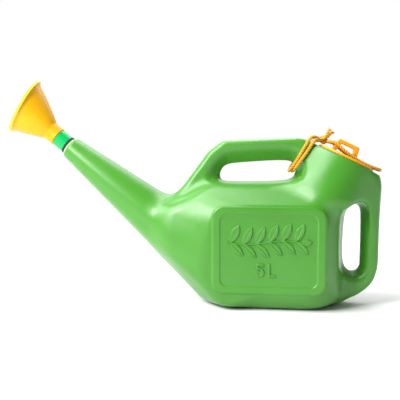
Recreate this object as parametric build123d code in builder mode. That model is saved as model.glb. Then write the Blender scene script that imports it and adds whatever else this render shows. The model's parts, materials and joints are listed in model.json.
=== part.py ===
from build123d import *
from math import cos, pi, radians, sin, tan
import os

# Garden watering can, blow-moulded in one piece, with a push-in filler lid, a swivelling
# rose and a cord that ties the lid to the handle.
# Frame: origin on the underside, in the plane of symmetry, 12 mm behind the middle of the
# flat base. +X to the rear handle, +Z up. The spout points to -X, and there is a label pad
# on the -Y and the +Y side. Millimetres.

# ---- driving dimensions ----
WALL = 2.0                 # wall of the blow-moulded shell
CLEAR = 0.3                # gap between pieces that move apart
OVERCUT = 1.0              # how far a cut runs past the wall it goes through

TANK_WIDTH = 130.0         # wall to wall, without the label pads
PLAN_HALF = TANK_WIDTH / 2 + 0.5   # half widths of the plan and of the side view's solid: both
SIDE_HALF = TANK_WIDTH / 2 + 5.0   # stay clear of the flat sides, which the end view alone cuts
TANK_TOP = 184.0           # top of the tank under the upper handle
PAD_PROUD = 1.8            # label pad above the tank wall
PAD_LENGTH = 160.0
PAD_HEIGHT = 126.0
PAD_CENTRE = (4.0, 87.0)   # x, z
PAD_CORNER = 18.0
FIELD_DEEP = 0.8           # sunk label field in the pad
FIELD_LENGTH = 136.0
FIELD_HEIGHT = 102.0
FIELD_CORNER = 10.0

HANDLE_TOP = 245.0         # top of the upper handle
HANDLE_WIDTH = 38.0
GRIP_WIDTH = 40.0          # rear handle, across
GRIP_BACK = 162.0          # x of the rear handle's back face
EDGE_ROUND = 9.0           # rounding of both handles

MOUTH = (114.0, 215.0)     # x, z of the centre of the filler mouth
MOUTH_TILT = 26.0          # mouth axis from vertical, leaning to the rear
MOUTH_R = 45.5             # outside radius of the mouth
MOUTH_BORE_R = 37.0
MOUTH_LIP = 3.0            # thickness of the lip that carries the lid
NECK_DEPTH = 52.0
NECK_ROOT_R = 58.0

SPOUT_TIP = (-303.0, 234.6)  # x, z of the centre of the spout's end face
SPOUT_RISE = 38.5          # spout axis above horizontal
SPOUT_TIP_R = 17.0
SPOUT_ROOT = 285.0         # distance from the tip to the root section
SPOUT_ROOT_R = 51.0        # half height of the root section
SPOUT_ROOT_HALF = 58.0     # half width of the root section
SPOUT_BORE_R = 10.3
SPOUT_LIP = 8.0            # length of the plain bore at the tip

RUNNING_FIT = 0.06         # radial, between a spigot and its bore
COUPLING_R = 13.4
COUPLING_LENGTH = 19.0
COUPLING_CHAMFER = 0.8
SPIGOT_R = 10.0
SPIGOT_BORE_R = 7.5
LOWER_SPIGOT = 21.0        # length inside the spout, washer included
UPPER_SPIGOT = 13.0        # length inside the rose's socket
WASHER_R = 13.8
WASHER_THICK = 3.0

SOCKET_R = 14.2
SOCKET_LENGTH = 16.4
ROSE_RIM_R = 44.8
ROSE_LENGTH = 55.0         # from the socket to the rim, along the axis
ROSE_TILT = 14.6           # rim plane from square to the axis
ROSE_TURN = 59.0           # direction of that tilt, from straight down towards -Y
RIM_SHIFT = 7.0            # rim's centre off the axis, away from the tilt
ROSE_WALL = 1.6
RIM_STEP = 3.2             # face plate's rim proud of the cone
RIM_THICK = 3.4
RIM_BAND = 5.0             # flat ring round the dome
FACE_DOME = 7.0            # top of the dome above the rim plane
FACE_BULGE = 0.9           # how far the dome's section bows out of its chord
FACE_WALL = 1.8
HOLE_R = 0.9
HOLE_RINGS = 5             # rings of 6, 12, 18 ... holes round the one in the middle
HOLE_PITCH = 6.4

LID_R = 43.5
LID_THICK = 2.6
LID_CHAMFER = 0.65
PLUG_DEPTH = 14.0
PLUG_WALL = 2.2
BRIDGE_TOP = 32.0          # finger bridge on the lid, wider at its foot
BRIDGE_FOOT = 42.0
BRIDGE_HEIGHT = 20.5
BRIDGE_DEPTH = 11.0
BRIDGE_POST = 8.0
BRIDGE_BAR = 5.5
BRIDGE_SHIFT = -5.0        # bridge towards the upper edge of the lid
BRIDGE_CORNER = 3.0

CORD_R = 2.1               # tether cord
ARC_SHARE = 0.45           # of the shorter run, taken up by the arc at its end
KNOT_PLACE = (-41.0, 0.0, 9.8)   # along, across and up from the centre of the mouth
KNOT_R = 6.4


def xz(x, z):
    """A point on the plane of symmetry."""
    return Vector(x, 0, z)


SIDE = Plane(origin=(0, 0, 0), x_dir=(1, 0, 0), z_dir=(0, -1, 0))   # sketch x, y are X, Z
MOUTH_AXIS = Vector(sin(radians(MOUTH_TILT)), 0, cos(radians(MOUTH_TILT)))
SPOUT_AXIS = Vector(-cos(radians(SPOUT_RISE)), 0, sin(radians(SPOUT_RISE)))
SPOUT_UNDER = Vector(-SPOUT_AXIS.Z, 0, SPOUT_AXIS.X)   # square to the spout, downwards


def mouth_plane(height):
    """Plane square to the filler mouth, its x towards the rear."""
    return Plane(origin=xz(*MOUTH) + MOUTH_AXIS * height,
                 x_dir=(MOUTH_AXIS.Z, 0, -MOUTH_AXIS.X), z_dir=MOUTH_AXIS)


def spout_plane(along):
    """Plane square to the spout, along it from the end face and outwards."""
    return Plane(origin=xz(*SPOUT_TIP) + SPOUT_AXIS * along, x_dir=(0, 1, 0), z_dir=SPOUT_AXIS)


def outline(points, roundings, inset=0.0):
    """A closed outline with its own rounding at each corner, set in by inset."""
    with BuildSketch() as drawn:
        with BuildLine():
            Polyline(*points, close=True)
        make_face()
        for point, rounding in zip(points, roundings):
            if rounding:
                fillet(drawn.vertices().sort_by_distance((*point, 0))[0], radius=rounding)
        if inset:
            offset(amount=-inset, mode=Mode.REPLACE)
    return drawn.sketch_local


TANK_SIDE = [(-90, 0), (-146, 56), (-122, 172), (-74, TANK_TOP), (60, TANK_TOP),
             (112, 160), (112, 30), (66, 0)]
TANK_SIDE_ROUND = [20, 20, 20, 12, 20, 20, 20, 30]
TANK_PLAN = [(-150, -30), (-78, -PLAN_HALF), (92, -PLAN_HALF), (116, -40),
             (116, 40), (92, PLAN_HALF), (-78, PLAN_HALF), (-150, 30)]
TANK_PLAN_ROUND = [10, 60, 22, 10, 10, 22, 60, 10]
TANK_END = [(-TANK_WIDTH / 2, 0), (TANK_WIDTH / 2, 0), (TANK_WIDTH / 2, 152),
            (18, TANK_TOP + 4), (-18, TANK_TOP + 4), (-TANK_WIDTH / 2, 152)]
TANK_END_ROUND = [18, 18, 30, 10, 10, 30]

HANDLE_OUTLINE = [(-146, 148), (-84, 230), (-60, 243), (54, HANDLE_TOP + 1), (80, 230),
                  (96, 180), (60, 150), (-90, 130), (-122, 126)]
HANDLE_ROUND = [0, 26, 24, 16, 10, 0, 0, 0, 0]
HANDLE_SLOT = [(-73, 183), (-60, 208), (34, 213), (46, 202), (36, 186)]
HANDLE_SLOT_ROUND = [5, 16, 7, 6, 6]
GRIP_OUTLINE = [(60, 30), (96, 6), (138, 22), (158, 50), (GRIP_BACK, 110), (GRIP_BACK, 186),
                (150, 196), (90, 200)]
GRIP_ROUND = [0, 20, 24, 30, 60, 10, 10, 0]
GRIP_SLOT = [(112, 150), (111, 60), (116, 49), (137, 52), (137, 151)]
GRIP_SLOT_ROUND = [12, 5, 6, 9, 8]


def handle_bar(points, roundings, width, inset):
    """A flat bar on the plane of symmetry with its long edges rounded."""
    with BuildPart() as bar:
        with BuildSketch(SIDE):
            add(outline(points, roundings, inset))
        extrude(amount=width / 2 - inset, both=True)
        fillet(bar.faces().filter_by(Axis.Y).edges(), radius=EDGE_ROUND - inset)
    return bar.part


def shell_form(inset):
    """The can's outer form, or the form inside its wall when inset is the wall."""
    with BuildPart() as form:
        with BuildSketch(SIDE):
            add(outline(TANK_SIDE, TANK_SIDE_ROUND, inset))
        extrude(amount=SIDE_HALF, both=True)
        with BuildSketch(Plane.XY):
            add(outline(TANK_PLAN, TANK_PLAN_ROUND, inset))
        extrude(amount=HANDLE_TOP, both=True, mode=Mode.INTERSECT)
        with BuildSketch(Plane.YZ):
            add(outline(TANK_END, TANK_END_ROUND, inset))
        extrude(amount=GRIP_BACK, both=True, mode=Mode.INTERSECT)
        with BuildSketch(spout_plane(-SPOUT_LIP if inset else 0)):
            Circle(SPOUT_TIP_R - inset)
        with BuildSketch(spout_plane(-SPOUT_ROOT)):
            Ellipse(SPOUT_ROOT_HALF - inset, SPOUT_ROOT_R - inset)
        loft()
        with BuildSketch(mouth_plane(-MOUTH_LIP if inset else 0)):
            Circle(MOUTH_R - inset)
        with BuildSketch(mouth_plane(inset - NECK_DEPTH)):
            Circle(NECK_ROOT_R - inset)
        loft()
        add(handle_bar(HANDLE_OUTLINE, HANDLE_ROUND, HANDLE_WIDTH, inset))
        add(handle_bar(GRIP_OUTLINE, GRIP_ROUND, GRIP_WIDTH, inset))
        for slot, rounding in ((HANDLE_SLOT, HANDLE_SLOT_ROUND), (GRIP_SLOT, GRIP_SLOT_ROUND)):
            with BuildSketch(SIDE):
                add(outline(slot, rounding, -inset))
            extrude(amount=TANK_WIDTH, both=True, mode=Mode.SUBTRACT)
    return form.part


os.makedirs("parts", exist_ok=True)

outer_form = shell_form(0.0)
inner_form = shell_form(WALL)
print("inside volume, litres", round(inner_form.volume / 1e6, 3))

with BuildPart() as label_pad:
    with BuildSketch(SIDE.offset((TANK_WIDTH - WALL) / 2)):
        with Locations(PAD_CENTRE):
            RectangleRounded(PAD_LENGTH, PAD_HEIGHT, PAD_CORNER)
    extrude(amount=WALL / 2 + PAD_PROUD)
    with BuildSketch(SIDE.offset(TANK_WIDTH / 2 + PAD_PROUD)):
        with Locations(PAD_CENTRE):
            RectangleRounded(FIELD_LENGTH, FIELD_HEIGHT, FIELD_CORNER)
    extrude(amount=-FIELD_DEEP, mode=Mode.SUBTRACT)
    mirror(about=Plane.XZ)

with BuildPart() as can_body:
    add(outer_form)
    add(label_pad.part)
    add(inner_form, mode=Mode.SUBTRACT)
    with BuildSketch(mouth_plane(-MOUTH_LIP - OVERCUT)):
        Circle(MOUTH_BORE_R)
    extrude(amount=MOUTH_LIP + 2 * OVERCUT, mode=Mode.SUBTRACT)
    with BuildSketch(spout_plane(-SPOUT_LIP - OVERCUT)):
        Circle(SPOUT_BORE_R)
    extrude(amount=SPOUT_LIP + 2 * OVERCUT, mode=Mode.SUBTRACT)
can_body.part.label = "can_body"


# ---- spout coupling and its washer ----
coupling_start = CLEAR + WASHER_THICK
coupling_end = coupling_start + COUPLING_LENGTH
spigot_start = coupling_start - LOWER_SPIGOT
coupling_total = LOWER_SPIGOT + COUPLING_LENGTH + UPPER_SPIGOT

with BuildPart() as spout_washer:
    with BuildSketch(spout_plane(CLEAR)):
        Circle(WASHER_R)
        Circle(SPIGOT_R, mode=Mode.SUBTRACT)
    extrude(amount=WASHER_THICK)
spout_washer.part.label = "spout_washer"

with BuildPart() as spout_coupling:
    with BuildSketch(spout_plane(coupling_start)):
        Circle(COUPLING_R)
    extrude(amount=COUPLING_LENGTH)
    chamfer(spout_coupling.edges().filter_by(GeomType.CIRCLE), length=COUPLING_CHAMFER)
    with BuildSketch(spout_plane(spigot_start)):
        Circle(SPIGOT_R)
    extrude(amount=coupling_total)
    with BuildSketch(spout_plane(spigot_start)):
        Circle(SPIGOT_BORE_R)
    extrude(amount=coupling_total, mode=Mode.SUBTRACT)
spout_coupling.part.label = "spout_coupling"


# ---- rose: a cone on a socket, and the perforated face on its rim ----
socket_start = coupling_end + CLEAR
cone_start = socket_start + SOCKET_LENGTH
cone_rim_r = ROSE_RIM_R - RIM_STEP
rim_lean = SPOUT_UNDER * cos(radians(ROSE_TURN)) - Vector(0, sin(radians(ROSE_TURN)), 0)
rim_normal = SPOUT_AXIS * cos(radians(ROSE_TILT)) + rim_lean * sin(radians(ROSE_TILT))
rim_centre = xz(*SPOUT_TIP) + SPOUT_AXIS * (cone_start + ROSE_LENGTH) - rim_lean * RIM_SHIFT


def rim_plane(along):
    """Plane of the rose's rim, moved along its own normal."""
    return Plane(origin=rim_centre + rim_normal * along, x_dir=(0, 1, 0), z_dir=rim_normal)


with BuildPart() as rose_cone:
    with BuildSketch(spout_plane(cone_start)):
        Circle(SOCKET_R)
    with BuildSketch(rim_plane(0)):
        Circle(cone_rim_r)
    loft()
    with BuildSketch(spout_plane(cone_start)):
        Circle(SOCKET_R)
    extrude(amount=-SOCKET_LENGTH)
    with BuildSketch(spout_plane(cone_start)):
        Circle(SPIGOT_BORE_R)
    with BuildSketch(rim_plane(ROSE_WALL)):
        Circle(cone_rim_r - ROSE_WALL)
    loft(mode=Mode.SUBTRACT)
    with BuildSketch(spout_plane(cone_start + CLEAR)):
        Circle(SPIGOT_BORE_R)
    extrude(amount=-SOCKET_LENGTH - CLEAR, mode=Mode.SUBTRACT)
    with BuildSketch(spout_plane(socket_start)):
        Circle(SPIGOT_R + RUNNING_FIT)
    extrude(amount=UPPER_SPIGOT, mode=Mode.SUBTRACT)
rose_cone.part.label = "rose_cone"

dome_edge_r = ROSE_RIM_R - RIM_BAND
face_section = Plane(origin=rim_centre, x_dir=Vector(0, 1, 0) - rim_normal * rim_normal.Y,
                     z_dir=Vector(0, 1, 0).cross(rim_normal))   # sketch y is the rim's normal
with BuildPart() as rose_face:
    with BuildSketch(face_section):
        with BuildLine():
            SagittaArc((dome_edge_r, RIM_THICK), (0, FACE_DOME), FACE_BULGE)
            Line((0, FACE_DOME), (0, FACE_DOME - FACE_WALL))
            SagittaArc((0, FACE_DOME - FACE_WALL), (dome_edge_r - FACE_WALL, 0), -FACE_BULGE)
            Line((dome_edge_r - FACE_WALL, 0), (ROSE_RIM_R, 0))
            Line((ROSE_RIM_R, 0), (ROSE_RIM_R, RIM_THICK))
            Line((ROSE_RIM_R, RIM_THICK), (dome_edge_r, RIM_THICK))
        make_face()
    revolve(axis=Axis(rim_centre, rim_normal))
    with BuildSketch(rim_plane(FACE_DOME)):
        Circle(HOLE_R)
        for ring in range(1, HOLE_RINGS + 1):
            with PolarLocations(ring * HOLE_PITCH, 6 * ring):
                Circle(HOLE_R)
    extrude(amount=-2 * FACE_DOME, mode=Mode.SUBTRACT)
rose_face.part.label = "rose_face"


# ---- filler lid: flange, plug and a finger bridge ----
plug_r = MOUTH_BORE_R - CLEAR
bridge_plane = Plane(origin=mouth_plane(CLEAR + LID_THICK).origin + mouth_plane(0).x_dir * BRIDGE_SHIFT,
                     x_dir=mouth_plane(0).x_dir, z_dir=(0, -1, 0))   # sketch y is up from the lid


def bridge_outline(foot, top, height):
    """A trapezium standing on the lid, with its two upper corners rounded."""
    with BuildSketch() as drawn:
        with BuildLine():
            Polyline((-foot / 2, 0), (-top / 2, height), (top / 2, height), (foot / 2, 0), close=True)
        make_face()
        fillet(drawn.vertices().group_by(Axis.Y)[-1], radius=BRIDGE_CORNER)
    return drawn.sketch_local


with BuildPart() as filler_lid:
    with BuildSketch(mouth_plane(CLEAR)):
        Circle(LID_R)
    extrude(amount=LID_THICK)
    chamfer(filler_lid.edges().filter_by(GeomType.CIRCLE), length=LID_CHAMFER)
    with BuildSketch(mouth_plane(CLEAR)):
        Circle(plug_r)
        Circle(plug_r - PLUG_WALL, mode=Mode.SUBTRACT)
    extrude(amount=-PLUG_DEPTH)
    with BuildSketch(bridge_plane):
        add(bridge_outline(BRIDGE_FOOT, BRIDGE_TOP, BRIDGE_HEIGHT))
        add(bridge_outline(BRIDGE_FOOT - 2 * BRIDGE_POST, BRIDGE_TOP - 2 * BRIDGE_POST,
                           BRIDGE_HEIGHT - BRIDGE_BAR), mode=Mode.SUBTRACT)
    extrude(amount=BRIDGE_DEPTH / 2, both=True)
filler_lid.part.label = "filler_lid"


# ---- tether: a doubled cord round the handle, a knot and a loop round the lid's bridge ----
def cord_tube(route):
    """A round tube along straight runs joined by tangent arcs as large as the runs allow."""
    points = [Vector(*point) for point in route]
    runs = [b - a for a, b in zip(points, points[1:])]
    radii = []
    for before, after in zip(runs, runs[1:]):
        turn = before.get_angle(after)
        shorter = min(before.length, after.length)
        radii.append(ARC_SHARE * shorter / tan(radians(turn) / 2))
    with BuildPart() as tube:
        with BuildLine() as path:
            FilletPolyline(*points, radius=radii)
        with BuildSketch(Plane(origin=points[0], z_dir=runs[0])):
            Circle(CORD_R)
        sweep(path=path.wires()[0])
    section = pi * CORD_R ** 2
    length = path.wires()[0].length
    print("cord", round(length, 1), "mm long, volume over section", round(tube.part.volume / section, 1),
          "mm, radii", [round(radius, 1) for radius in radii])
    return tube.part


def on_lid(along, across, up):
    """A point over the lid: along it towards the rear, across it, and up from the mouth plane."""
    mouth = mouth_plane(0)
    return mouth.origin + mouth.x_dir * along + Vector(0, across, 0) + MOUTH_AXIS * up


HANDLE_LOOP_OUTER = [(75, -5, 245), (68, -14, 248.5), (60.5, -23, 243.5), (53.5, -26, 231),
                     (44.5, -27, 215.5), (36, -22, 203), (33, -8, 198), (33, 8, 198),
                     (36, 22, 203), (44.5, 27, 215.5), (53.5, 26, 231), (60.5, 23, 243.5),
                     (68, 14, 249), (75, 5, 246)]
HANDLE_LOOP_INNER = [(76, -9, 242), (71, -19, 244), (64, -26.5, 236), (56, -28, 223),
                     (47, -28.5, 211), (40.5, -23.5, 201.5), (38, -8.5, 197.5), (38, 8.5, 197.5),
                     (40.5, 23.5, 201.5), (47, 28.5, 211), (56, 28, 223), (64, 26.5, 236),
                     (71, 19, 244), (76, 9, 242)]
LID_LOOP = [(-34.8, -3, 11.6), (-28.8, -7.4, 14.8), (-22, -9.9, 14.4), (-11, -11.2, 11), (0, -11.4, 8.3),
            (11, -10.7, 6.7), (24, -9.8, 5.7), (37, -9.2, 5.9), (47, -7.5, 7), (52.5, -2, 7.6),
            (51.5, 5, 7.5), (45, 9.3, 6.7), (36.5, 10.5, 5.9), (25, 10.6, 5.6), (12, 11.5, 6.6),
            (-1, 12, 8.2), (-12, 11.5, 10.6), (-21.5, 10.4, 13.2), (-28.6, 7.2, 13.8), (-34.8, 3, 11.4)]
TAIL_FRONT = [(-40.5, -3, 16), (-39.5, -4.5, 20), (-40.5, -5, 24), (-39.5, -4.8, 27.5)]
TAIL_BACK = [(-38.6, 2, 16.1), (-36.6, 3.5, 20), (-36, 3.2, 24), (-34, 2.6, 27)]

with BuildPart() as tether_handle_loop_outer:
    add(cord_tube(HANDLE_LOOP_OUTER))
tether_handle_loop_outer.part.label = "tether_handle_loop_outer"

with BuildPart() as tether_handle_loop_inner:
    add(cord_tube(HANDLE_LOOP_INNER))
tether_handle_loop_inner.part.label = "tether_handle_loop_inner"

with BuildPart() as tether_knot:
    with Locations(on_lid(*KNOT_PLACE)):
        Sphere(KNOT_R)
tether_knot.part.label = "tether_knot"

with BuildPart() as tether_lid_loop:
    add(cord_tube([on_lid(*point) for point in LID_LOOP]))
tether_lid_loop.part.label = "tether_lid_loop"

with BuildPart() as tether_tail_front:
    add(cord_tube([on_lid(*point) for point in TAIL_FRONT]))
tether_tail_front.part.label = "tether_tail_front"

with BuildPart() as tether_tail_back:
    add(cord_tube([on_lid(*point) for point in TAIL_BACK]))
tether_tail_back.part.label = "tether_tail_back"

pieces = [can_body, spout_washer, spout_coupling, rose_cone, rose_face, filler_lid,
          tether_handle_loop_outer, tether_handle_loop_inner, tether_knot, tether_lid_loop,
          tether_tail_front, tether_tail_back]
for piece in pieces:
    export_step(piece.part, f"parts/{piece.part.label}.step")
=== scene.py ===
"""Garden watering can: the looks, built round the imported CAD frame. Blender metres, one shared frame."""
import json
import math

import bmesh
import bpy
import numpy as np
from mathutils import Matrix, Vector


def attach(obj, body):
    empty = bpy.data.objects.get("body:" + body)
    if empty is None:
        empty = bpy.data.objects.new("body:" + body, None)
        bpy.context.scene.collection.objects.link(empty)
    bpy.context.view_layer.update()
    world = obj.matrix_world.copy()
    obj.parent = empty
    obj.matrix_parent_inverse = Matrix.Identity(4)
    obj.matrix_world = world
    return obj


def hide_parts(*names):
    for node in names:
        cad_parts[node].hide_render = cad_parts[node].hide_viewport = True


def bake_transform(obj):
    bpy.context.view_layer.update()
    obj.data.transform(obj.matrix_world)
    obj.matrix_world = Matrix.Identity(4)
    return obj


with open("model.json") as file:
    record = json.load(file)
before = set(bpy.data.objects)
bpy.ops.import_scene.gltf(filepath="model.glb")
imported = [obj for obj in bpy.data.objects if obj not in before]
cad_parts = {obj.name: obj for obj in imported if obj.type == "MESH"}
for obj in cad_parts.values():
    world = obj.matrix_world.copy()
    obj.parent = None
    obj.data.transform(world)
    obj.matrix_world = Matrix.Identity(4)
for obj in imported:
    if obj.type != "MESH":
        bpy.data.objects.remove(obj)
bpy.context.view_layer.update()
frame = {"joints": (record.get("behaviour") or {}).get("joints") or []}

MM = 0.001


# ---------------------------------------------------------------- camera and light
def aim(obj, place, target):
    obj.location = place
    obj.rotation_euler = (Vector(target) - Vector(place)).to_track_quat("-Z", "Y").to_euler()


def build_camera():
    """Long lens at the height of the handle, looking a little left and down."""
    data = bpy.data.cameras.new("camera")
    data.sensor_width = 36.0
    data.lens = 54.0
    camera = bpy.data.objects.new("camera", data)
    bpy.context.scene.collection.objects.link(camera)
    place = Vector((0.008, -0.900, 0.221))
    aim(camera, place, place + Vector((-0.1188, 0.9901, -0.0748)))
    bpy.context.scene.camera = camera


def area_light(name, place, target, size, power):
    data = bpy.data.lights.new(name, "AREA")
    data.shape = "RECTANGLE"
    data.size, data.size_y = size
    data.energy = power
    lamp = bpy.data.objects.new(name, data)
    bpy.context.scene.collection.objects.link(lamp)
    aim(lamp, place, target)


def build_studio():
    """Pale floor, a world that is brightest behind the object, a soft sun and three area lights."""
    centre = (-0.10, 0.0, 0.15)
    sun = bpy.data.lights.new("key", "SUN")
    sun.energy = 3.1
    sun.angle = math.radians(40)
    lamp = bpy.data.objects.new("key", sun)
    bpy.context.scene.collection.objects.link(lamp)
    aim(lamp, (-0.9, -0.5, 1.2), (0, 0, 0))
    area_light("top", (-0.25, 0.1, 1.15), centre, (1.0, 0.35), 7)
    area_light("rear", (-0.1, 0.9, 1.1), centre, (1.4, 0.8), 8)
    area_light("left", (-0.65, -0.65, 0.55), (-0.15, 0.0, 0.15), (0.25, 0.45), 9)
    bpy.context.scene.view_settings.view_transform = "Standard"
    world = bpy.data.worlds.new("studio")
    bpy.context.scene.world = world
    world.use_nodes = True
    tree = world.node_tree
    sky = node(tree, "ShaderNodeTexCoord").outputs["Generated"]
    facing = node(tree, "ShaderNodeVectorMath", operation="DOT_PRODUCT")
    facing.inputs[1].default_value = (-0.5, 0.85, 0.15)
    tree.links.new(sky, facing.inputs[0])
    bright = node(tree, "ShaderNodeMapRange")
    bright.inputs["From Min"].default_value = -0.1
    bright.inputs["From Max"].default_value = 0.6
    bright.inputs["To Min"].default_value = 0.26
    bright.inputs["To Max"].default_value = 1.0
    tree.links.new(facing.outputs["Value"], bright.inputs["Value"])
    background = tree.nodes["Background"]
    background.inputs["Color"].default_value = (1.0, 1.0, 1.0, 1.0)
    tree.links.new(bright.outputs["Result"], background.inputs["Strength"])
    mesh = bpy.data.meshes.new("floor")
    reach = 12.0
    mesh.from_pydata([(-reach, -reach, 0), (reach, -reach, 0), (reach, reach, 0), (-reach, reach, 0)],
                     [], [(0, 1, 2, 3)])
    floor = bpy.data.objects.new("floor", mesh)
    bpy.context.scene.collection.objects.link(floor)
    paper = bpy.data.materials.new("floor_paper")
    paper.use_nodes = True
    shader = paper.node_tree.nodes["Principled BSDF"]
    shader.inputs["Base Color"].default_value = (0.82, 0.82, 0.82, 1)
    shader.inputs["Roughness"].default_value = 0.9
    shader.inputs["Specular IOR Level"].default_value = 0.0
    mesh.materials.append(paper)


# ---------------------------------------------------------------- materials
def node(tree, kind, **values):
    made = tree.nodes.new(kind)
    for name, value in values.items():
        setattr(made, name, value)
    return made


def ramp_of(tree, source, stops):
    ramp = node(tree, "ShaderNodeValToRGB")
    while len(ramp.color_ramp.elements) < len(stops):
        ramp.color_ramp.elements.new(0.5)
    for element, (at, colour) in zip(ramp.color_ramp.elements, stops):
        element.position = at
        element.color = (*colour, 1.0)
    tree.links.new(source, ramp.inputs["Fac"])
    return ramp.outputs["Color"]


def noise_of(tree, scale, detail, roughness):
    """Noise in the object's own coordinates, scale in cycles per metre."""
    coords = node(tree, "ShaderNodeTexCoord").outputs["Object"]
    noise = node(tree, "ShaderNodeTexNoise")
    noise.inputs["Scale"].default_value = scale
    noise.inputs["Detail"].default_value = detail
    noise.inputs["Roughness"].default_value = roughness
    tree.links.new(coords, noise.inputs["Vector"])
    return noise.outputs["Fac"]


# Sizes of the plastic's unevenness, in cycles per metre.
DRIFT_SCALE, GLOSS_SCALE, WAVE_SCALE = 9.0, 38.0, 24.0


def moulded_plastic(name, dark, light, roughness, grain, grain_height, waves=0.0, subsurface=0.0,
                    specular=0.5, seam=0.0, sheen=0.0):
    """Moulded plastic: slow colour drift, uneven gloss, fine grain, and where asked for slow surface
    waves and a parting line of half width seam in the plane of symmetry."""
    material = bpy.data.materials.new(name)
    material.use_nodes = True
    tree = material.node_tree
    shader = tree.nodes["Principled BSDF"]
    drift = noise_of(tree, DRIFT_SCALE, 3.0, 0.55)
    tree.links.new(ramp_of(tree, drift, [(0.3, dark), (0.7, light)]), shader.inputs["Base Color"])
    gloss = noise_of(tree, GLOSS_SCALE, 4.0, 0.6)
    low, high = roughness
    grey = [(0.3, (low,) * 3), (0.72, (high,) * 3)]
    tree.links.new(ramp_of(tree, gloss, grey), shader.inputs["Roughness"])
    bump = node(tree, "ShaderNodeBump")
    bump.inputs["Strength"].default_value = 0.35
    bump.inputs["Distance"].default_value = grain_height
    tree.links.new(noise_of(tree, grain, 3.0, 0.6), bump.inputs["Height"])
    normal = bump.outputs["Normal"]
    if waves:
        wave = node(tree, "ShaderNodeBump")
        wave.inputs["Strength"].default_value = 0.5
        wave.inputs["Distance"].default_value = waves
        tree.links.new(noise_of(tree, WAVE_SCALE, 1.5, 0.4), wave.inputs["Height"])
        tree.links.new(normal, wave.inputs["Normal"])
        normal = wave.outputs["Normal"]
    if seam:
        across = node(tree, "ShaderNodeSeparateXYZ")
        tree.links.new(node(tree, "ShaderNodeTexCoord").outputs["Object"], across.inputs["Vector"])
        offset = node(tree, "ShaderNodeMath", operation="ABSOLUTE")
        tree.links.new(across.outputs["Y"], offset.inputs[0])
        ridge = node(tree, "ShaderNodeMapRange", interpolation_type="SMOOTHSTEP")
        ridge.inputs["From Max"].default_value = seam
        ridge.inputs["To Min"].default_value = 1.0
        ridge.inputs["To Max"].default_value = 0.0
        tree.links.new(offset.outputs["Value"], ridge.inputs["Value"])
        line = node(tree, "ShaderNodeBump")
        line.inputs["Strength"].default_value = 0.8
        line.inputs["Distance"].default_value = 0.0004
        tree.links.new(ridge.outputs["Result"], line.inputs["Height"])
        tree.links.new(normal, line.inputs["Normal"])
        normal = line.outputs["Normal"]
    tree.links.new(normal, shader.inputs["Normal"])
    shader.inputs["Specular IOR Level"].default_value = specular
    shader.inputs["Sheen Weight"].default_value = sheen
    shader.inputs["Sheen Roughness"].default_value = 0.35
    shader.inputs["Subsurface Weight"].default_value = subsurface
    shader.inputs["Subsurface Scale"].default_value = 0.004
    return material


# ---------------------------------------------------------------- mesh helpers
def new_object(name, points, faces, material, sharp_angle=None):
    """A smooth-shaded mesh, with the edges sharper than sharp_angle degrees left sharp."""
    mesh = bpy.data.meshes.new(name)
    mesh.from_pydata([tuple(p) for p in points], [], [tuple(f) for f in faces])
    mesh.materials.append(material)
    mesh.shade_smooth()
    if sharp_angle:
        mesh.set_sharp_from_angle(angle=math.radians(sharp_angle))
    obj = bpy.data.objects.new(name, mesh)
    bpy.context.scene.collection.objects.link(obj)
    return obj


# ---------------------------------------------------------------- signed distance fields, millimetres
def smax(a, b, k):
    """The larger of two fields, rounded over a width k."""
    h = np.maximum(k - np.abs(a - b), 0.0) / k
    return np.maximum(a, b) + h * h * (k / 4)


def smin(a, b, k):
    return -smax(-a, -b, k)


def polygon_field(x, z, points):
    """Signed distance to a closed outline in the side view, negative inside."""
    spread = np.broadcast(x, z).shape
    nearest = np.full(spread, 1e9)
    inside = np.zeros(spread, bool)
    for (ax, az), (bx, bz) in zip(points, points[1:] + points[:1]):
        ex, ez = bx - ax, bz - az
        wx, wz = x - ax, z - az
        t = np.clip((wx * ex + wz * ez) / (ex * ex + ez * ez), 0, 1)
        nearest = np.minimum(nearest, (wx - ex * t) ** 2 + (wz - ez * t) ** 2)
        crosses = ((az > z) != (bz > z)) & (wx < ex * wz / (ez or 1e-9))
        inside ^= crosses
    return np.where(inside, -1, 1) * np.sqrt(nearest)


def eased(points):
    """A closed outline with its corners cut back twice, which leaves it smooth."""
    near, far = 0.78, 0.22
    for _ in range(2):
        cut = []
        for (ax, az), (bx, bz) in zip(points, points[1:] + points[:1]):
            cut.append((near * ax + far * bx, near * az + far * bz))
            cut.append((far * ax + near * bx, far * az + near * bz))
        points = cut
    return points


def rounded_plate(flat, across, half, rounding):
    """A plate with the outline field flat and that half thickness, every edge rounded."""
    a = flat + rounding
    b = across - (half - rounding)
    return (np.hypot(np.maximum(a, 0), np.maximum(b, 0)) + np.minimum(np.maximum(a, b), 0)) - rounding


def rounded_box(x, z, half_x, half_z, corner):
    """Signed distance to a rectangle with round corners, centred on the origin."""
    ax, az = np.abs(x) - half_x + corner, np.abs(z) - half_z + corner
    return np.hypot(np.maximum(ax, 0), np.maximum(az, 0)) + np.minimum(np.maximum(ax, az), 0) - corner


def stroke(x, z, a, b):
    """Distance to the straight stroke from a to b."""
    ex, ez = b[0] - a[0], b[1] - a[1]
    t = np.clip(((x - a[0]) * ex + (z - a[1]) * ez) / (ex * ex + ez * ez), 0, 1)
    return np.hypot(x - a[0] - ex * t, z - a[1] - ez * t)


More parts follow.
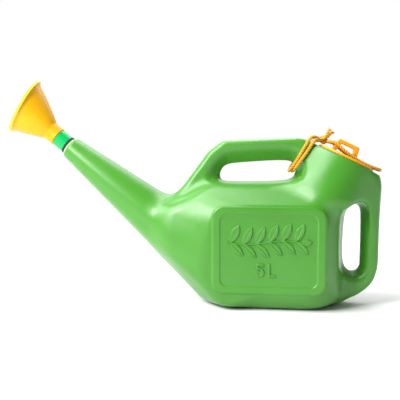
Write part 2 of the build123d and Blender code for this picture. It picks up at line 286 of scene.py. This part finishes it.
def dual_contour(field, low, high, step):
    """The zero surface of field as (points, quads). Each cell's point is fitted to the surface planes
    that cross its edges, so creases stay sharp."""
    axes = [np.arange(a, b + step, step, dtype=np.float32) for a, b in zip(low, high)]
    values = field(axes[0][:, None, None], axes[1][None, :, None], axes[2][None, None, :])
    grid = np.broadcast_to(values, [len(a) for a in axes])
    cells = np.array(grid.shape)
    found_points, found_cells, found_quads = [], [], []
    for axis in range(3):
        ahead = np.roll(grid, -1, axis)
        crossing = (grid < 0) != (ahead < 0)
        crossing[tuple(slice(-1, None) if a == axis else slice(None) for a in range(3))] = False
        at = np.argwhere(crossing)
        first, second = grid[crossing], ahead[crossing]
        start = np.stack([axes[a][at[:, a]] for a in range(3)], 1).astype(np.float64)
        share = (first / (first - second)).astype(np.float64)
        lo, hi = np.zeros(len(at)), np.ones(len(at))
        for _ in range(3):
            point = start.copy()
            point[:, axis] += share * step
            value = field(*point.T)
            same = (value < 0) == (first < 0)
            lo, hi = np.where(same, share, lo), np.where(same, hi, share)
            slope = (second - first) / step
            share = np.clip(share - value / slope / step, lo, hi)
        point = start.copy()
        point[:, axis] += share * step
        found_points.append(point)
        b, c = [a for a in range(3) if a != axis]
        around = []
        for db, dc in ((0, 0), (1, 0), (1, 1), (0, 1)):
            cell = at.copy()
            cell[:, b] -= db
            cell[:, c] -= dc
            around.append(np.ravel_multi_index(cell.T, cells))
        around = np.stack(around, 1)
        flip = (first < 0) ^ (axis == 1)
        found_cells.append(around)
        found_quads.append(np.where(flip[:, None], around, around[:, ::-1]))
    point = np.concatenate(found_points)
    around = np.concatenate(found_cells)
    quads = np.concatenate(found_quads)
    reach = 0.15            # half the distance that a slope is measured over
    normal = np.stack([field(*(point + reach * unit).T) - field(*(point - reach * unit).T)
                       for unit in np.eye(3)], 1)
    normal /= np.linalg.norm(normal, axis=1)[:, None] + 1e-12
    used, index = np.unique(around, return_inverse=True)
    index = index.reshape(around.shape)
    count = np.bincount(index.ravel(), minlength=len(used)).astype(float)

    def gathered(values):
        return np.bincount(index.ravel(), np.repeat(values, 4), len(used))

    mean = np.stack([gathered(point[:, a]) for a in range(3)], 1) / count[:, None]
    pull = 0.06             # weight of the mean point, which settles the flat directions
    matrix = np.stack([np.stack([gathered(normal[:, a] * normal[:, b]) for b in range(3)], 1)
                       for a in range(3)], 1)
    right = (normal * point).sum(1)
    vector = np.stack([gathered(normal[:, a] * right) for a in range(3)], 1)
    matrix += pull * np.eye(3)[None]
    vector += pull * mean
    fitted = np.linalg.solve(matrix, vector[:, :, None])[:, :, 0]
    corner = np.stack(np.unravel_index(used, cells), 1)
    corner = np.stack([axes[a][corner[:, a]] for a in range(3)], 1)
    fitted = np.clip(fitted, corner, corner + step)
    return fitted, np.searchsorted(used, quads)


# ---------------------------------------------------------------- places, millimetres
joints = {joint["name"]: joint for joint in frame["joints"]}
MOUTH_AXIS = np.array(joints["lid_lift"]["axis"])
MOUTH_REAR = np.array([MOUTH_AXIS[2], 0, -MOUTH_AXIS[0]])
MOUTH = np.array([114.0, 0.0, 215.0])
SPOUT_AXIS = np.array(joints["coupling_pull"]["axis"])
SPOUT_TIP = np.array(joints["rose_turn"]["pos_m"]) / MM
ACROSS = np.array([0.0, 1.0, 0.0])


def along_mouth(x, z):
    """Along the mouth towards the rear, and up out of it."""
    dx, dz = x - MOUTH[0], z - MOUTH[2]
    return dx * MOUTH_AXIS[2] - dz * MOUTH_AXIS[0], dx * MOUTH_AXIS[0] + dz * MOUTH_AXIS[2]


def down_spout(x, z):
    """Down the spout from its end face, and square to it."""
    dx, dz = x - SPOUT_TIP[0], z - SPOUT_TIP[2]
    return -dx * SPOUT_AXIS[0] - dz * SPOUT_AXIS[2], dx * SPOUT_AXIS[2] - dz * SPOUT_AXIS[0]


def on_lid(point):
    """A point given along, across and up from the mouth, in the shared frame."""
    return MOUTH + MOUTH_REAR * point[0] + ACROSS * point[1] + MOUTH_AXIS * point[2]


# ---------------------------------------------------------------- the can's form, millimetres
MOUTH_R, MOUTH_BORE_R, MOUTH_LIP = 45.5, 37.0, 4.0
MOUTH_BORE_DEPTH = 40.0
MOUTH_CUT = 12.0            # how far past the neck the mouth's plane still cuts
NECK_FLARE, NECK_DEPTH = 0.24, 60.0
SPOUT_TIP_R, SPOUT_TAPER, SPOUT_LENGTH = 16.8, 0.1157, 330.0
SPOUT_BORE_R, SPOUT_BORE_DEPTH = 10.3, 60.0
LIP_LENGTH = 2.0            # plain ring that the spout ends in
SIDE_FACE = 65.0            # half width of the tank at its flat sides
HOLLOW_WALL = 6.0           # wall between the outside and the hollow
HANDLE_HALF, GRIP_HALF, BAR_ROUND = 19.0, 20.0, 8.5

# Widths over which one surface of the can runs into the next.
SLOPE_ROUND, EDGE_ROUND, BASE_ROUND, SIDE_ROUND = 26.0, 14.0, 14.0, 1.6
LIP_ROUND, SPOUT_END_ROUND, SPOUT_ROOT_ROUND = 4.0, 20.0, 40.0
HANDLE_ROOT_ROUND, GRIP_ROOT_ROUND = 16.0, 14.0
NECK_END_ROUND, NECK_ROOT_ROUND, MOUTH_ROUND = 12.0, 30.0, 2.0
SLOT_ROUND, HOLLOW_ROUND, BORE_ROUND = 7.0, 8.0, 2.0

# Planes that bound the tank: the (x, |y|, z) normal and its distance from the origin.
SLOPES = [((0, 0.63, 0.777), 157.9), ((0.815, 0.579, 0), 107.3),
          ((0, 0.864, -0.504), 44.9), ((-0.38, 0.925, 0), 90.3)]
EDGES = [((0, 0, 1), 184.5), ((-0.702, 0, -0.712), 34.0), ((1, 0, 0), 112.0),
         ((0.46, 0, -0.887), 38.9), ((-1, 0, 0), 140.0), ((-0.6, 0, 0.8), 197.0)]
HANDLE = [(-124, 138), (-70, 210.5), (-57, 220.5), (44, 223.7), (66, 209), (70, 170), (-95, 140)]
HANDLE_R = 22.0
HANDLE_SLOT = eased([(-63, 187), (-64, 193), (-60, 200), (-51, 203.5), (28, 208.5), (38.5, 203),
                     (32.5, 188.5)])
HANDLE_RELIEF = eased([(-77, 187), (-82, 196), (-68, 213), (-54, 224.5), (36, 228.5), (48, 206),
                       (42, 188.5)])
HANDLE_SLOT_R = 6.0
GRIP = eased([(91, 17.5), (108, 25), (124.5, 32.5), (139, 44), (144, 60), (144.3, 80), (144.5, 110),
              (144.5, 160), (144.5, 178), (132, 181), (90, 170)])
GRIP_R = 18.0
GRIP_SLOT = eased([(117, 74), (119, 61), (124.5, 54.5), (132, 57), (132.6, 70), (133, 139), (129.5, 145),
                   (125, 143), (120.5, 136), (118.5, 127), (117, 100)])
GRIP_RELIEF = eased([(112, 72), (114, 56), (124, 46), (136, 48), (141, 62), (141, 142), (133, 150),
                     (124, 147), (116, 139), (113, 128), (112, 100)])
GRIP_SLOT_R = 5.0
RELIEF_FROM = 4.0           # distance from the middle where a slot's edge starts to slope back


def plane_field(plane, x, q, z):
    (nx, ny, nz), offset = plane
    return nx * x + ny * q + nz * z - offset


def slot_field(x, q, z, inner, outer, rounding, half):
    """A slot right through a bar, wider at the bar's faces than in its middle."""
    share = np.clip((q - RELIEF_FROM) / (half - RELIEF_FROM), 0, 1)
    return (1 - share) * polygon_field(x, z, inner) + share * polygon_field(x, z, outer) - rounding


def can_field(x, y, z):
    """Below zero inside the can's wall."""
    q = np.abs(y)
    tank = plane_field(SLOPES[0], x, q, z)
    for plane in SLOPES[1:]:
        tank = smax(tank, plane_field(plane, x, q, z), SLOPE_ROUND)
    for plane in EDGES:
        tank = smax(tank, plane_field(plane, x, q, z), EDGE_ROUND)
    down, off = down_spout(x, z)
    spout = (np.hypot(off, q) - SPOUT_TIP_R - SPOUT_TAPER * down) / math.hypot(1, SPOUT_TAPER)
    spout = smax(spout, LIP_LENGTH - down, LIP_ROUND)
    spout = smax(spout, down - SPOUT_LENGTH, SPOUT_END_ROUND)
    outer = smin(tank, spout, SPOUT_ROOT_ROUND)
    outer = smax(outer, -z, BASE_ROUND)
    outer = smax(outer, q - SIDE_FACE, SIDE_ROUND)
    bar = rounded_plate(polygon_field(x, z, HANDLE) - HANDLE_R, q, HANDLE_HALF, BAR_ROUND)
    outer = smin(outer, bar, HANDLE_ROOT_ROUND)
    grip = rounded_plate(polygon_field(x, z, GRIP) - GRIP_R, q, GRIP_HALF, BAR_ROUND)
    outer = smin(outer, grip, GRIP_ROOT_ROUND)
    along, up = along_mouth(x, z)
    around = np.hypot(along, q)
    neck = (around - MOUTH_R + NECK_FLARE * up) / math.hypot(1, NECK_FLARE)
    neck = smax(neck, -up - NECK_DEPTH, NECK_END_ROUND)
    outer = smin(outer, neck, NECK_ROOT_ROUND)
    outer = smax(outer, np.where(around < MOUTH_R + MOUTH_CUT, up, -50.0), MOUTH_ROUND)
    slots = (slot_field(x, q, z, HANDLE_SLOT, HANDLE_RELIEF, HANDLE_SLOT_R, HANDLE_HALF),
             slot_field(x, q, z, GRIP_SLOT, GRIP_RELIEF, GRIP_SLOT_R, GRIP_HALF))
    for slot in slots:
        outer = smax(outer, -slot, SLOT_ROUND)
    hollow = smin(np.maximum(tank, q - SIDE_FACE), np.maximum(neck, up + MOUTH_LIP - HOLLOW_WALL),
                  HOLLOW_ROUND)
    hollow = np.maximum(hollow, -z)
    mouth_bore = np.maximum(around - MOUTH_BORE_R, -up - MOUTH_BORE_DEPTH)
    hollow = smin(hollow + HOLLOW_WALL, mouth_bore, BORE_ROUND)
    for slot in slots:
        hollow = np.maximum(hollow, HOLLOW_WALL - slot)
    bore = np.maximum(np.hypot(off, q) - SPOUT_BORE_R, down - SPOUT_BORE_DEPTH)
    return np.maximum(np.maximum(outer, -hollow), -bore)


def part_of(piece, body, slot, *nodes):
    """The piece stands for those CAD nodes and moves with the body. The slot is not used."""
    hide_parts(*nodes)
    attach(piece, body)


def build_can(material):
    step = 2.2
    half_cells = round(71.5 / step) + 0.5
    lowest, highest = (-322.0, -half_cells * step, -3.1), (168.0, half_cells * step, 253.0)
    points, quads = dual_contour(can_field, lowest, highest, step)
    shell = new_object("can_shell", points * MM, quads, material, sharp_angle=38)
    part_of(shell, "can", "can_green", "can_body")


def revolved(name, section, origin, axis, material):
    """A closed section of (radius, along) points turned about an axis."""
    steps = 96
    axis = Vector(axis).normalized()
    first = axis.orthogonal().normalized()
    second = axis.cross(first)
    points, faces = [], []
    for i in range(steps):
        angle = 2 * math.pi * i / steps
        out = first * math.cos(angle) + second * math.sin(angle)
        points += [(Vector(origin) + axis * along + out * radius) * MM for radius, along in section]
    count = len(section)
    for i in range(steps):
        for j in range(count):
            a, b = i * count, (i + 1) % steps * count
            k = (j + 1) % count
            faces.append((a + j, a + k, b + k, b + j))
    return new_object(name, points, faces, material, sharp_angle=40)


def build_spout_lip(material):
    """The plain ring that the washer seats on."""
    inside, outside, depth = SPOUT_BORE_R, SPOUT_TIP_R - 2.4, 6.0
    inner_bevel, outer_bevel = 0.4, 0.8
    section = [(inside, -depth), (inside, -inner_bevel), (inside + inner_bevel, 0.0),
               (outside - outer_bevel, 0.0), (outside, -outer_bevel), (outside, -depth)]
    lip = revolved("spout_lip", section, SPOUT_TIP, SPOUT_AXIS, material)
    part_of(lip, "can", "can_green", "can_body")


# ---------------------------------------------------------------- label pads
PAD_CENTRE = (4.0, 87.0)
PAD_HALF, PAD_CORNER, PAD_TOP = (81.0, 63.0), 18.0, 66.8
FIELD_HALF, FIELD_CORNER, FIELD_DEEP = (68.0, 51.0), 10.0, 1.1
RELIEF_HEIGHT, RELIEF_SLOPE = 1.7, 0.9
STROKE_HALF = 1.5
FIELD_SLOPE, PAD_ROUND = 1.4, 5.0
PAD_ROOT = 4.0              # how deep the pad reaches into the tank's side
STEM_Z, STEM_SWING, STEM_WAVE, STEM_HALF, STEM_REACH = 99.0, 3.0, 17.0, 0.9, 54.0
LEAF_PAIRS, FIRST_LEAF, LEAF_PITCH = 6, -50.0, 18.0
LEAVES = [(13, 24, 5.6), (19, -18, 4.9)]    # ahead of the root, above the stem, half width
RIB_HALF, RIB_DEEP = 0.8, 0.5


def leaf(x, z, base, tip, half):
    """Signed distance to a pointed leaf, and the distance to its rib."""
    length = math.dist(base, tip)
    ux, uz = (tip[0] - base[0]) / length, (tip[1] - base[1]) / length
    along = (x - base[0]) * ux + (z - base[1]) * uz
    across = np.abs((z - base[1]) * ux - (x - base[0]) * uz)
    radius = (length * length / 4 + half * half) / (2 * half)
    return np.hypot(along - length / 2, across + radius - half) - radius, across


def raised(distance):
    """Height of a raised shape with sloping edges."""
    return RELIEF_HEIGHT * np.clip(0.5 - distance / RELIEF_SLOPE, 0, 1)


def sprig(x, z):
    """Height of the leafy sprig in the upper part of the label."""
    stem = np.abs(z - STEM_Z - STEM_SWING * np.sin(x / STEM_WAVE)) / 1.05 - STEM_HALF
    height = raised(np.maximum(stem, np.abs(x + 2) - STEM_REACH))
    for i in range(LEAF_PAIRS):
        root = FIRST_LEAF + LEAF_PITCH * i
        foot = STEM_Z + STEM_SWING * math.sin(root / STEM_WAVE)
        for ahead, above, half in LEAVES:
            distance, rib = leaf(x, z, (root + 1, foot), (root + ahead, foot + above), half)
            groove = RIB_DEEP * np.clip(1 - rib / RIB_HALF, 0, 1) * (distance < -0.6)
            height = np.maximum(height, raised(distance) - groove)
    distance, _ = leaf(x, z, (50, STEM_Z), (64, STEM_Z + 2), 4.2)
    return np.maximum(height, raised(distance))


def capacity_mark(x, z):
    """Height of the 5 L capacity mark."""
    left, foot = -13.0, 52.0
    top = foot + 16.0
    bowl_x, bowl_z, bowl_r = left + 4.6, foot + 5.2, 5.2
    lower_end, upper_end = -2.5, 2.2
    turn = np.arctan2(z - bowl_z, x - bowl_x)
    ring = np.abs(np.hypot(x - bowl_x, z - bowl_z) - bowl_r)
    ring = np.where((turn > lower_end) & (turn < upper_end), ring, 50.0)
    shoulder = (bowl_x + bowl_r * math.cos(upper_end), bowl_z + bowl_r * math.sin(upper_end))
    five_left, five_right = left + 2.2, left + 9.4
    ell_left, ell_right = left + 18, left + 26
    strokes = [ring, stroke(x, z, shoulder, (five_left, top)),
               stroke(x, z, (five_left, top), (five_right, top)),
               stroke(x, z, (ell_left, foot), (ell_left, top)),
               stroke(x, z, (ell_left, foot), (ell_right, foot))]
    distance = strokes[0]
    for other in strokes[1:]:
        distance = np.minimum(distance, other)
    return raised(distance - STROKE_HALF)


def pad_field(x, y, z):
    outline = rounded_box(x - PAD_CENTRE[0], z - PAD_CENTRE[1], *PAD_HALF, PAD_CORNER)
    field = rounded_box(x - PAD_CENTRE[0], z - PAD_CENTRE[1], *FIELD_HALF, FIELD_CORNER)
    sunk = FIELD_DEEP * np.clip(0.5 - field / FIELD_SLOPE, 0, 1)
    top = PAD_TOP - sunk + sprig(x, z) + capacity_mark(x, z)
    return np.maximum(smax(outline, -y - top, PAD_ROUND), y + SIDE_FACE - PAD_ROOT)


def build_label_pads(material):
    """The front pad, and the same turned half round for the rear. Their hidden backs become one face."""
    step = 0.95
    lowest = (PAD_CENTRE[0] - PAD_HALF[0] - 2.3, -PAD_TOP - 2.4, PAD_CENTRE[1] - PAD_HALF[1] - 2.3)
    highest = (PAD_CENTRE[0] + PAD_HALF[0] + 2.3, -SIDE_FACE + 7.0, PAD_CENTRE[1] + PAD_HALF[1] + 2.3)
    points, quads = dual_contour(pad_field, lowest, highest, step)
    behind = points * (-1, -1, 1) + (2 * PAD_CENTRE[0], 0, 0)
    for name, place in (("label_pad_front", points), ("label_pad_rear", behind)):
        pad = new_object(name, place * MM, quads, material, sharp_angle=50)
        mesh = bmesh.new()
        mesh.from_mesh(pad.data)
        buried = [f for f in mesh.faces if abs(f.calc_center_median().y) < (SIDE_FACE - 3.9) * MM]
        bmesh.ops.dissolve_faces(mesh, faces=buried)
        mesh.to_mesh(pad.data)
        mesh.free()
        part_of(pad, "can", "can_green", "can_body")


# ---------------------------------------------------------------- lid
LID_R, LID_TOP, LID_UNDER = 43.5, 2.9, 0.3
PLUG_R, PLUG_WALL, PLUG_DEPTH = 36.7, 2.2, 13.7
BRIDGE_SHIFT, BRIDGE_HALF, BRIDGE_R = -5.0, 5.5, 3.0
BRIDGE = [(-17.4, -1), (-13.6, 20.4), (13.6, 20.4), (17.4, -1)]
BRIDGE_GAP = [(-11.6, 4.6), (-8.4, 16.2), (8.4, 16.2), (11.6, 4.6)]
GAP_R = 1.6
LID_EDGE = 1.0
RIM_INSET, RIM_BEAD_R, RIM_ROUND = 2.6, 0.9, 1.4
STEP_AT, STEP_BEAD_R, STEP_ROUND = 31.0, 0.7, 1.2
PLUG_EDGE, PLUG_ROUND = 0.8, 1.6
BRIDGE_EDGE, GAP_ROUND, BRIDGE_ROUND = 1.8, 1.6, 3.0


def lid_field(along, across, up):
    around = np.hypot(along, across)
    middle, half = (LID_TOP + LID_UNDER) / 2, (LID_TOP - LID_UNDER) / 2
    disc = rounded_plate(around - LID_R, np.abs(up - middle), half, LID_EDGE)
    rim = np.hypot(around - LID_R + RIM_INSET, up - LID_TOP) - RIM_BEAD_R
    disc = smin(disc, rim, RIM_ROUND)
    step = np.hypot(around - STEP_AT, up - LID_TOP) - STEP_BEAD_R
    disc = smin(disc, step, STEP_ROUND)
    skirt = rounded_plate(np.abs(around - PLUG_R + PLUG_WALL / 2) - PLUG_WALL / 2,
                          np.abs(up + PLUG_DEPTH / 2 - 1), PLUG_DEPTH / 2 + 1, PLUG_EDGE)
    disc = smin(disc, skirt, PLUG_ROUND)
    place = along - BRIDGE_SHIFT
    bridge = rounded_plate(polygon_field(place, up, BRIDGE) - BRIDGE_R, np.abs(across), BRIDGE_HALF,
                           BRIDGE_EDGE)
    bridge = np.maximum(bridge, -up)
    gap = polygon_field(place, up, BRIDGE_GAP) - GAP_R
    bridge = smax(bridge, -gap, GAP_ROUND)
    return smin(disc, bridge, BRIDGE_ROUND)


def build_lid(material):
    step = 0.85
    reach = (math.floor(46 / step) + 0.5) * step
    points, quads = dual_contour(lid_field, (-reach, -reach, -15.5), (reach, reach, 26.0), step)
    place = MOUTH + points[:, :1] * MOUTH_REAR + points[:, 1:2] * ACROSS + points[:, 2:] * MOUTH_AXIS
    lid = new_object("lid_shell", place * MM, quads, material, sharp_angle=50)
    part_of(lid, "lid", "lid_yellow", "filler_lid")


# ---------------------------------------------------------------- rose
ROSE_SOCKET, ROSE_CONE, ROSE_RIM = 22.4, 39.0, 94.0     # places along the spout axis
ROSE_TILT, ROSE_TURN, RIM_SHIFT = 14.6, 59.0, 7.0
SOCKET_R, SOCKET_BORE_R, ROSE_WALL = 14.2, 10.06, 1.6
SOCKET_BEVEL, SOCKET_WAIST = 0.7, 2.2

# Share of the way along the cone, and the radius there.
CONE_RINGS = [(0.0, 14.7), (0.04, 16.1), (0.1, 18.1), (0.2, 20.9), (0.4, 26.4), (0.6, 31.6),
              (0.78, 36.1), (0.88, 38.5), (0.94, 39.9), (0.975, 40.9), (1.0, 42.0)]


def build_rose_cone(material):
    """Rings along the axis, turning from square to the socket to square to the rim."""
    axis = Vector(SPOUT_AXIS)
    turn, tilt = math.radians(ROSE_TURN), math.radians(ROSE_TILT)
    lean = Vector((-axis.z, 0, axis.x)) * math.cos(turn) - Vector(ACROSS) * math.sin(turn)
    rim_normal = axis * math.cos(tilt) + lean * math.sin(tilt)
    rings = [(ROSE_SOCKET, 0.0, SOCKET_R - SOCKET_BEVEL), (ROSE_SOCKET + SOCKET_BEVEL, 0.0, SOCKET_R),
             (ROSE_CONE - SOCKET_WAIST, 0.0, SOCKET_R)]
    cone = ROSE_RIM - ROSE_CONE
    for share, radius in CONE_RINGS:
        rings.append((ROSE_CONE + cone * share, share, radius))
    inner = [(along, share, max(radius - ROSE_WALL, SOCKET_BORE_R))
             for along, share, radius in rings[::-1]]
    rings = rings + inner
    points, faces = [], []
    steps = 128
    for along, share, radius in rings:
        normal = axis.lerp(rim_normal, share).normalized()
        side = normal.cross(Vector(ACROSS)).normalized()
        centre = Vector(SPOUT_TIP) + axis * along - lean * RIM_SHIFT * share
        across = side.cross(normal)
        for i in range(steps):
            angle = 2 * math.pi * i / steps
            out = across * math.cos(angle) + side * math.sin(angle)
            points.append((centre + out * radius) * MM)
    count = len(rings)
    for ring in range(count):
        a, b = ring * steps, (ring + 1) % count * steps
        for i in range(steps):
            j = (i + 1) % steps
            faces.append((a + i, a + j, b + j, b + i))
    rose = new_object("rose_funnel", points, faces, material, sharp_angle=42)
    part_of(rose, "rose", "rose_yellow", "rose_cone")


# ---------------------------------------------------------------- tether
CORD_R = 2.6
STRANDS, STRAND_SIDES, LAY_LENGTH = 3, 8, 14.0
STRAND_R = 1.4
KNOT_STEPS = 120
KNOT_REACH = (1.55, 1.3)    # along and across the lid
KNOT_MIDDLE, KNOT_SWING = 1.5, 3.6
KNOT_STRAND_R, KNOT_OFFSET = 1.25, 1.1
FIBRES, FIBRE_R, FIBRE_ROOT, FIBRE_BEND = 16, 0.28, 1.5, 0.25
FIBRE_PLACE, FIBRE_SPREAD, FIBRE_LENGTH = (0.2, 1.5), (0.1, 0.75), (2.4, 4.2)

HANDLE_LOOP_OUTER = [(75, -5, 245), (68, -14, 248.5), (60.5, -23, 243.5), (53.5, -26, 231),
                     (44.5, -27, 215.5), (36, -22, 203), (33, -8, 198), (33, 8, 198),
                     (36, 22, 203), (44.5, 27, 215.5), (53.5, 26, 231), (60.5, 23, 243.5),
                     (68, 14, 249), (75, 5, 246)]
HANDLE_LOOP_INNER = [(76, -9, 242), (71, -19, 244), (64, -26.5, 236), (56, -28, 223),
                     (47, -28.5, 211), (40.5, -23.5, 201.5), (38, -8.5, 197.5), (38, 8.5, 197.5),
                     (40.5, 23.5, 201.5), (47, 28.5, 211), (56, 28, 223), (64, 26.5, 236),
                     (71, 19, 244), (76, 9, 242)]
LID_LOOP = [(-34.8, -3, 11.6), (-28.8, -7.4, 14.8), (-22, -9.9, 14.4), (-11, -11.2, 11), (0, -11.4, 8.3),
            (11, -10.7, 6.7), (24, -9.8, 5.7), (37, -9.2, 5.9), (47, -7.5, 7), (52.5, -2, 7.6),
            (51.5, 5, 7.5), (45, 9.3, 6.7), (36.5, 10.5, 5.9), (25, 10.6, 5.6), (12, 11.5, 6.6),
            (-1, 12, 8.2), (-12, 11.5, 10.6), (-21.5, 10.4, 13.2), (-28.6, 7.2, 13.8), (-34.8, 3, 11.4)]
TAIL_FRONT = [(-40.5, -3, 16), (-39.5, -4.5, 20), (-40.5, -5, 24), (-39.5, -4.8, 27.5)]
TAIL_BACK = [(-38.6, 2, 16.1), (-36.6, 3.5, 20), (-36, 3.2, 24), (-34, 2.6, 27)]
KNOT_PLACE = (-41.0, 0.0, 9.8)


def smooth_route(points):
    """The line of a NURBS spline with those control points, in metres."""
    curve = bpy.data.curves.new("route", "CURVE")
    curve.dimensions = "3D"
    curve.resolution_u = 16
    spline = curve.splines.new("NURBS")
    spline.points.add(len(points) - 1)
    for control, place in zip(spline.points, points):
        control.co = (*(Vector(place) * MM), 1.0)
    spline.order_u = 3
    spline.use_endpoint_u = True
    holder = bpy.data.objects.new("route", curve)
    line = bpy.data.meshes.new_from_object(holder)
    path = [vertex.co.copy() for vertex in line.vertices]
    bpy.data.objects.remove(holder)
    bpy.data.meshes.remove(line)
    return path


def strand_tubes(path, points, faces, radius=STRAND_R, offset=CORD_R - STRAND_R, strands=STRANDS):
    """Strands laid round a path as rope is, added to points and faces."""
    tangent = (path[1] - path[0]).normalized()
    side = tangent.orthogonal().normalized()
    travelled = 0.0
    frames = []
    for i, place in enumerate(path):
        ahead = path[min(i + 1, len(path) - 1)] - path[max(i - 1, 0)]
        turn = tangent.rotation_difference(ahead.normalized())
        side = (turn @ side).normalized()
        tangent = ahead.normalized()
        if i:
            travelled += (place - path[i - 1]).length
        frames.append((place, tangent, side, travelled))
    for strand in range(strands):
        first = len(points)
        for place, tangent, side, travelled in frames:
            lay = 2 * math.pi * (travelled / MM / LAY_LENGTH + strand / strands)
            out = Matrix.Rotation(lay, 3, tangent) @ side
            centre = place + out * offset * MM
            for k in range(STRAND_SIDES):
                around = Matrix.Rotation(2 * math.pi * k / STRAND_SIDES, 3, tangent) @ out
                points.append(centre + around * radius * MM)
        for i in range(len(frames) - 1):
            a, b = first + i * STRAND_SIDES, first + (i + 1) * STRAND_SIDES
            for k in range(STRAND_SIDES):
                n = (k + 1) % STRAND_SIDES
                faces.append((a + k, a + n, b + n, b + k))
        last = first + (len(frames) - 1) * STRAND_SIDES
        faces.append(tuple(range(first + STRAND_SIDES - 1, first - 1, -1)))
        faces.append(tuple(range(last, last + STRAND_SIDES)))


def rope(name, route, material):
    path = smooth_route(route)
    points, faces = [], []
    strand_tubes(path, points, faces)
    length = sum((b - a).length for a, b in zip(path, path[1:]))
    return new_object(name, points, faces, material), path, length


def knot_line():
    """A pulled-tight overhand knot round the knot's place."""
    centre = Vector(on_lid(KNOT_PLACE))
    line = []
    for i in range(KNOT_STEPS + 1):
        t = 2 * math.pi * i / KNOT_STEPS
        swing = 2 + math.cos(3 * t)
        local = (KNOT_REACH[0] * swing * math.cos(2 * t), KNOT_REACH[1] * swing * math.sin(2 * t),
                 KNOT_MIDDLE + KNOT_SWING * math.sin(3 * t))
        line.append((centre + Vector(MOUTH_REAR) * local[0] + Vector(ACROSS) * local[1]
                     + Vector(MOUTH_AXIS) * local[2]) * MM)
    return line


def build_tether(material):
    """The knot and its frayed tails, two loops round the handle and one round the lid's bridge."""
    draw = np.random.default_rng(7)
    points, faces = [], []
    strand_tubes(knot_line(), points, faces, radius=KNOT_STRAND_R, offset=KNOT_OFFSET)
    for tail in (TAIL_FRONT, TAIL_BACK):
        path = smooth_route([on_lid(point) for point in tail])
        strand_tubes(path, points, faces)
        end, outward = path[-1], (path[-1] - path[-4]).normalized()
        for _ in range(FIBRES):
            spread = Vector(draw.normal(0, 1, 3))
            spread -= outward * spread.dot(outward)
            spread.normalize()
            start = end + spread * draw.uniform(*FIBRE_PLACE) * MM - outward * FIBRE_ROOT * MM
            reach = (outward + spread * draw.uniform(*FIBRE_SPREAD)) * draw.uniform(*FIBRE_LENGTH) * MM
            tip = start + reach + Vector(draw.normal(0, FIBRE_BEND, 3)) * MM
            line = [start, start + reach * 0.5, tip]
            strand_tubes(line, points, faces, radius=FIBRE_R, offset=0.0, strands=1)
    knot = new_object("tether_knot_and_tails", points, faces, material)
    part_of(knot, "lid", "tether_cord", "tether_knot", "tether_tail_front", "tether_tail_back")

    for name, route, node_name in (("tether_loop_outer", HANDLE_LOOP_OUTER, "tether_handle_loop_outer"),
                                   ("tether_loop_inner", HANDLE_LOOP_INNER, "tether_handle_loop_inner")):
        loop, path, length = rope(name, route, material)
        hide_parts(node_name)
        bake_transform(loop)
    loop, path, length = rope("tether_loop_lid", [on_lid(point) for point in LID_LOOP], material)
    part_of(loop, "lid", "tether_cord", "tether_lid_loop")


# ---------------------------------------------------------------- everything
def dress(name, material):
    """A CAD node keeps its shape and gets a better material."""
    for entry in bpy.data.objects[name].material_slots:
        entry.material = material


def main():
    build_camera()
    build_studio()
    can_green = moulded_plastic("can_green", (0.042, 0.213, 0.012), (0.056, 0.25, 0.02), (0.28, 0.38),
                                900.0, 0.00025, waves=0.0004, subsurface=0.04, seam=0.0011, sheen=0.12)
    lid_yellow = moulded_plastic("lid_yellow", (0.66, 0.28, 0.001), (0.72, 0.34, 0.002), (0.28, 0.38),
                                 1400.0, 0.0001, subsurface=0.06, specular=0.25)
    rose_yellow = moulded_plastic("rose_yellow", (0.62, 0.29, 0.0), (0.68, 0.35, 0.001), (0.36, 0.46),
                                  1400.0, 0.0001, subsurface=0.06, specular=0.25)
    rose_pale = moulded_plastic("rose_pale", (0.64, 0.46, 0.02), (0.7, 0.53, 0.035), (0.32, 0.42),
                                1400.0, 0.0001, subsurface=0.06, specular=0.25)
    emerald = moulded_plastic("coupling_emerald", (0.0, 0.31, 0.065), (0.0, 0.37, 0.085), (0.16, 0.24),
                              1400.0, 0.00006, specular=0.35)
    # The pale green on the spout's end ring is a painted highlight, standing in for light caught on its
    # edge.
    painted_lip_highlight = moulded_plastic("painted_lip_highlight", (0.36, 0.5, 0.26), (0.46, 0.58, 0.34), (0.5, 0.6),
                               1800.0, 0.0002)
    # Near-black finish for the ring between the spout and the coupling.
    washer_dark = moulded_plastic("washer_rubber", (0.004, 0.004, 0.004), (0.01, 0.01, 0.01), (0.6, 0.75),
                             2200.0, 0.0002)
    cord = moulded_plastic("tether_cord", (0.52, 0.24, 0.006), (0.68, 0.37, 0.02), (0.6, 0.75),
                           2600.0, 0.0003)
    build_tether(cord)
    build_can(can_green)
    build_spout_lip(painted_lip_highlight)
    build_label_pads(can_green)
    build_lid(lid_yellow)
    build_rose_cone(rose_yellow)
    dress("rose_face", rose_pale)
    dress("spout_coupling", emerald)
    dress("spout_washer", washer_dark)


main()
